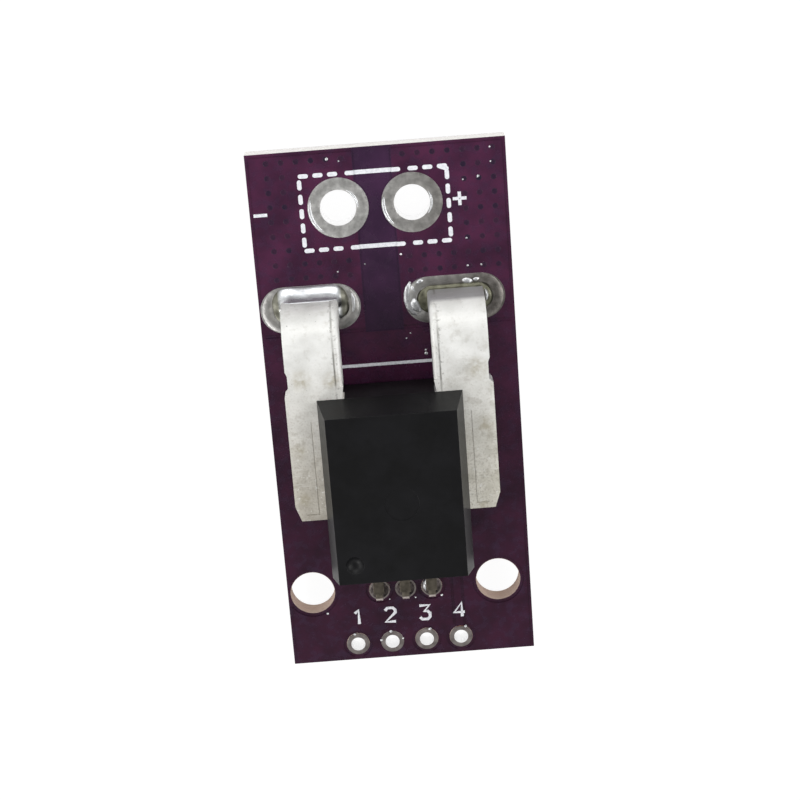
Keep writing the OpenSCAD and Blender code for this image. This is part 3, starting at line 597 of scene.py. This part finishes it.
def add_sign(name, key, x, y, height, width=INK_W):
    curve = bpy.data.curves.new(name, "CURVE")
    curve.dimensions = "3D"
    curve.bevel_depth = width / 2 * MM
    curve.bevel_resolution = 3
    curve.use_fill_caps = True
    wide = max(p[0] for line in STROKES[key] for p in line)
    for line in STROKES[key]:
        spline = curve.splines.new("POLY")
        spline.points.add(len(line) - 1)
        for point, (u, v) in zip(spline.points, line):
            point.co = ((x + (u - wide / 2) * height) * MM, (y + (v - 0.5) * height) * MM, 0, 1)
    carrier = bpy.data.objects.new(name + "_path", curve)
    bpy.context.scene.collection.objects.link(carrier)
    mesh = bpy.data.meshes.new_from_object(carrier.evaluated_get(bpy.context.evaluated_depsgraph_get()))
    bpy.data.objects.remove(carrier)
    verts = [(v.co.x / MM, v.co.y / MM, MASK_TOP + v.co.z / MM * INK_H / (width / 2)) for v in mesh.vertices]
    faces = [tuple(p.vertices) for p in mesh.polygons]
    add_piece(name, verts, faces, "ink")


def add_signs():
    header_y = node_middle("header_plating_1").y
    for i in range(1, 5):
        x = node_middle("header_plating_%d" % i).x
        add_sign("number_%d" % i, str(i), x, header_y + 2.15, 1.1)
    add_sign("minus_sign", "minus", -8.15, 14.85, 1.05, 0.24)
    add_sign("plus_sign", "plus", 5.55, 15.0, 1.05, 0.24)


add_signs()


# Ridges and lumps in which the solder set on the rings

def arc(node, radius, start, end, shift=0.0, steps=14):
    """Places on a circle round a node's middle, or shifted along X from it, from one direction in
    degrees to another."""
    middle = node_middle(node)
    turns = [math.radians(start + (end - start) * i / (steps - 1)) for i in range(steps)]
    return [(middle.x + shift + radius * math.cos(a), middle.y + radius * math.sin(a)) for a in turns]


SLOT_SPINE = (SLOT_L - SLOT_W) / 2
RIDGES = [
    (arc("left_terminal_plating", 1.95, 156, 240), 0.3, 0.09),
    (arc("left_terminal_plating", 1.36, -8, 66), 0.2, 0.06),
    (arc("right_terminal_plating", 1.95, 160, 230), 0.3, 0.09),
    (arc("right_terminal_plating", 1.36, -48, 40), 0.18, 0.05),
    ([(1.75, 9.4), (1.54, 9.0), (1.46, 8.6), (1.44, 8.1), (1.54, 7.6), (1.84, 7.15), (2.26, 6.9)], 0.5, 0.12),
    ([(1.74, 9.08), (1.88, 8.95), (2.0, 8.7), (1.98, 8.4)], 0.34, 0.08),
    ([(1.86, 8.2), (1.92, 7.85), (2.06, 7.5), (2.34, 7.2)], 0.7, 0.17),
    ([(5.3, 9.32), (5.55, 9.22), (5.85, 9.16), (6.1, 9.2)], 0.5, 0.12),
    ([(6.05, 9.3), (6.3, 9.24), (6.6, 9.34)], 0.36, 0.1),
    ([(-2.72, 9.2), (-2.42, 8.9), (-2.3, 8.5), (-2.28, 8.0), (-2.36, 7.6), (-2.6, 7.15)], 0.34, 0.08),
    ([(2.1, 9.2), (2.4, 9.38), (2.75, 9.44)], 0.36, 0.08),
    ([(1.22, -12.95), (1.16, -13.25), (1.15, -13.55), (1.2, -13.85)], 0.34, 0.3),
    ([(6.86, 8.62), (6.95, 8.35), (6.98, 8.1), (6.95, 7.85), (6.86, 7.6)], 0.34, 0.42),
]
# Dark lines round the slot ends: partly flux in the creases, partly painted shade of the creases.
FLUX_AND_SHADE_LINES = [
    (arc("left_slot_plating", 1.03, 75, -45, shift=SLOT_SPINE), 0.16, 0.06),
    (arc("right_slot_plating", 1.03, 78, -45, shift=SLOT_SPINE), 0.17, 0.06),
    (arc("right_slot_plating", 1.03, 130, 225, shift=-SLOT_SPINE), 0.1, 0.05),
]
RIDGE_SINK = 0.02


def add_ridges(name, ridges, look):
    """Low lumps with round sections along short paths, tapered to both ends."""
    around = 10
    verts, faces = [], []
    for path, width, height in ridges:
        first = len(verts)
        last = len(path) - 1
        for i, (x, y) in enumerate(path):
            before, after = Vector(path[max(i - 1, 0)]), Vector(path[min(i + 1, last)])
            run = (after - before).normalized()
            taper = max(math.sin(math.pi * (i + 0.25) / (last + 0.5)), 0.0) ** 0.6
            lump = 1 + 0.45 * noise.noise(Vector((x * 2.3, y * 2.3, height)))
            for k in range(around):
                lean = math.pi * k / (around - 1)
                out = math.cos(lean) * width / 2 * taper
                z = PAD_TOP - RIDGE_SINK + math.sin(lean) * (height * lump + RIDGE_SINK) * taper
                verts.append((x - run.y * out, y + run.x * out, z))
        for i in range(last):
            a, b = first + i * around, first + (i + 1) * around
            faces += [(a + k, b + k, b + (k + 1) % around, a + (k + 1) % around) for k in range(around)]
        faces.append(tuple(first + k for k in range(around)))
        faces.append(tuple(first + last * around + k for k in range(around))[::-1])
    add_piece(name, verts, faces, look)


add_ridges("solder_ridges", RIDGES, "bright_solder")
add_ridges("flux_and_shade_lines", FLUX_AND_SHADE_LINES, "flux")


# Small splashes of solder and grains that catch the light

def add_beads():
    beads = [(-3.3, 18.4, 0.11), (-2.5, 18.2, 0.06), (6.9, 16.45, 0.1), (5.85, 16.3, 0.06), (7.8, 18.4, 0.07),
             (7.8, 17.4, 0.06), (5.85, 12.2, 0.07), (5.8, 10.25, 0.08), (6.75, 10.25, 0.08),
             (1.25, 11.4, 0.09), (2.5, 4.15, 0.13), (2.48, 4.4, 0.08), (1.5, 5.7, 0.06), (1.2, 5.35, 0.06),
             (-6.12, -15.17, 0.09), (-3.2, 10.5, 0.06), (-1.3, 10.9, 0.05), (-4.27, -17.0, 0.1), (-1.59, -16.97, 0.12),
             (-2.33, -17.62, 0.1), (-0.75, -17.6, 0.08), (1.29, -17.0, 0.12), (3.93, -17.0, 0.11),
             (2.34, -14.36, 0.1), (-1.48, -14.38, 0.05), (0.42, -14.39, 0.06)]
    verts, faces = [], []
    around, up = 12, 4
    for x, y, r in beads:
        start = len(verts)
        tall = 0.45 * r
        for k in range(up):
            lean = math.pi / 2 * k / up
            ring_r, z = r * math.cos(lean), tall * math.sin(lean)
            verts += [(x + ring_r * math.cos(2 * math.pi * i / around),
                       y + ring_r * math.sin(2 * math.pi * i / around), MASK_TOP - 0.004 + z)
                      for i in range(around)]
        verts += [(x, y, MASK_TOP - 0.004 + tall), (x, y, MASK_TOP - 0.01)]
        for i in range(around):
            j = (i + 1) % around
            for k in range(up - 1):
                a, b = start + k * around, start + (k + 1) * around
                faces.append((a + i, a + j, b + j, b + i))
            last = start + (up - 1) * around
            faces += [(last + i, last + j, start + up * around), (start + j, start + i, start + up * around + 1)]
    add_piece("solder_beads", verts, faces, "bright_solder")


add_beads()


# Floor, light and camera

def add_floor():
    mesh = bpy.data.meshes.new("floor")
    half = 1.5
    mesh.from_pydata([(-half, -half, 0), (half, -half, 0), (half, half, 0), (-half, half, 0)], [],
                     [(0, 1, 2, 3)])
    floor = bpy.data.objects.new("floor", mesh)
    floor.location.z = -0.00003
    bpy.context.scene.collection.objects.link(floor)
    look = Look("floor")
    look.nodes.remove(look.shader)
    out = look.nodes["Material Output"]
    path = look.add("ShaderNodeLightPath")
    seen = look.math("MAXIMUM", path.outputs["Is Camera Ray"],
                     look.math("MAXIMUM", path.outputs["Is Glossy Ray"], path.outputs["Is Transmission Ray"]))
    plain = look.add("ShaderNodeBsdfDiffuse", Color=(0.78, 0.78, 0.78, 1))
    faint = look.add("ShaderNodeBsdfDiffuse", Color=(0.11, 0.11, 0.11, 1))
    glow = look.add("ShaderNodeEmission", Color=(1, 1, 1, 1), Strength=0.95)
    bright = look.add("ShaderNodeAddShader", i0=faint.outputs[0], i1=glow.outputs[0])
    both = look.add("ShaderNodeMixShader", i0=seen, i1=plain.outputs[0], i2=bright.outputs[0])
    look.links.new(both.outputs[0], out.inputs["Surface"])
    mesh.materials.append(look.mat)


def add_lamp(name, place, size, power, colour=(1, 1, 1), aim=(0, 0, 0)):
    lamp = bpy.data.lights.new(name, "AREA")
    lamp.shape = "RECTANGLE"
    lamp.size, lamp.size_y = size
    lamp.energy = power
    lamp.color = colour
    obj = bpy.data.objects.new(name, lamp)
    obj.location = place
    obj.rotation_euler = (Vector(aim) - Vector(place)).to_track_quat("-Z", "Y").to_euler()
    bpy.context.scene.collection.objects.link(obj)


# Brightness of the sky by the sine of its height: dim at the horizon, bright half way up, and
# dimmer overhead, where the flat tinned faces mirror it. It leans brighter to the left side
SKY = ((0.0, 0.25), (0.33, 0.8), (0.7, 0.87), (0.88, 0.2))
SKY_LEAN = 0.3


def add_light():
    world = bpy.data.worlds.new("studio")
    bpy.context.scene.world = world
    world.use_nodes = True
    nodes, links = world.node_tree.nodes, world.node_tree.links
    coord = nodes.new("ShaderNodeTexCoord")
    split = nodes.new("ShaderNodeSeparateXYZ")
    sky = nodes.new("ShaderNodeValToRGB")
    stops = sky.color_ramp.elements
    while len(stops) < len(SKY):
        stops.new(0.5)
    for stop, (height, level) in zip(stops, SKY):
        stop.position = height
        stop.color = (level, level, level, 1)
    path = nodes.new("ShaderNodeLightPath")
    pick = nodes.new("ShaderNodeMix")
    pick.data_type = "RGBA"
    pick.inputs[7].default_value = (1, 1, 1, 1)
    links.new(coord.outputs["Generated"], split.inputs[0])
    links.new(split.outputs["Z"], sky.inputs[0])
    lean = nodes.new("ShaderNodeMath")
    lean.operation = "MULTIPLY_ADD"
    lean.inputs[1].default_value = -SKY_LEAN
    lean.inputs[2].default_value = 1.0
    links.new(split.outputs["X"], lean.inputs[0])
    leaning = nodes.new("ShaderNodeVectorMath")
    leaning.operation = "SCALE"
    links.new(sky.outputs[0], leaning.inputs[0])
    links.new(lean.outputs[0], leaning.inputs["Scale"])
    links.new(path.outputs["Is Camera Ray"], pick.inputs[0])
    links.new(leaning.outputs[0], pick.inputs[6])
    links.new(pick.outputs[2], nodes["Background"].inputs["Color"])
    add_lamp("key", (0.50, 0.02, 0.45), (0.4, 0.4), 1.45)
    add_lamp("fill", (-0.50, 0.02, 0.45), (0.4, 0.4), 0.65)
    add_lamp("rear", (0.0, 0.55, 0.45), (0.5, 0.25), 1.05)
    add_lamp("glint", (-0.38, -0.42, 0.40), (0.12, 0.12), 0.8)


def add_camera():
    """The photograph's camera: 1852 pixels of focal length in an 800 pixel frame."""
    camera = bpy.data.cameras.new("camera")
    camera.sensor_width = 36
    camera.lens = 1852.45 / 800 * camera.sensor_width
    camera.clip_start = 0.01
    obj = bpy.data.objects.new("camera", camera)
    obj.location = Vector((1.207, 41.133, 127.634)) * MM
    obj.rotation_euler = Euler([math.radians(a) for a in (-17.857, -1.004, -4.257)], "XYZ")
    bpy.context.scene.collection.objects.link(obj)
    bpy.context.scene.camera = obj


add_floor()
add_light()
add_camera()
bpy.context.scene.view_settings.view_transform = "Standard"
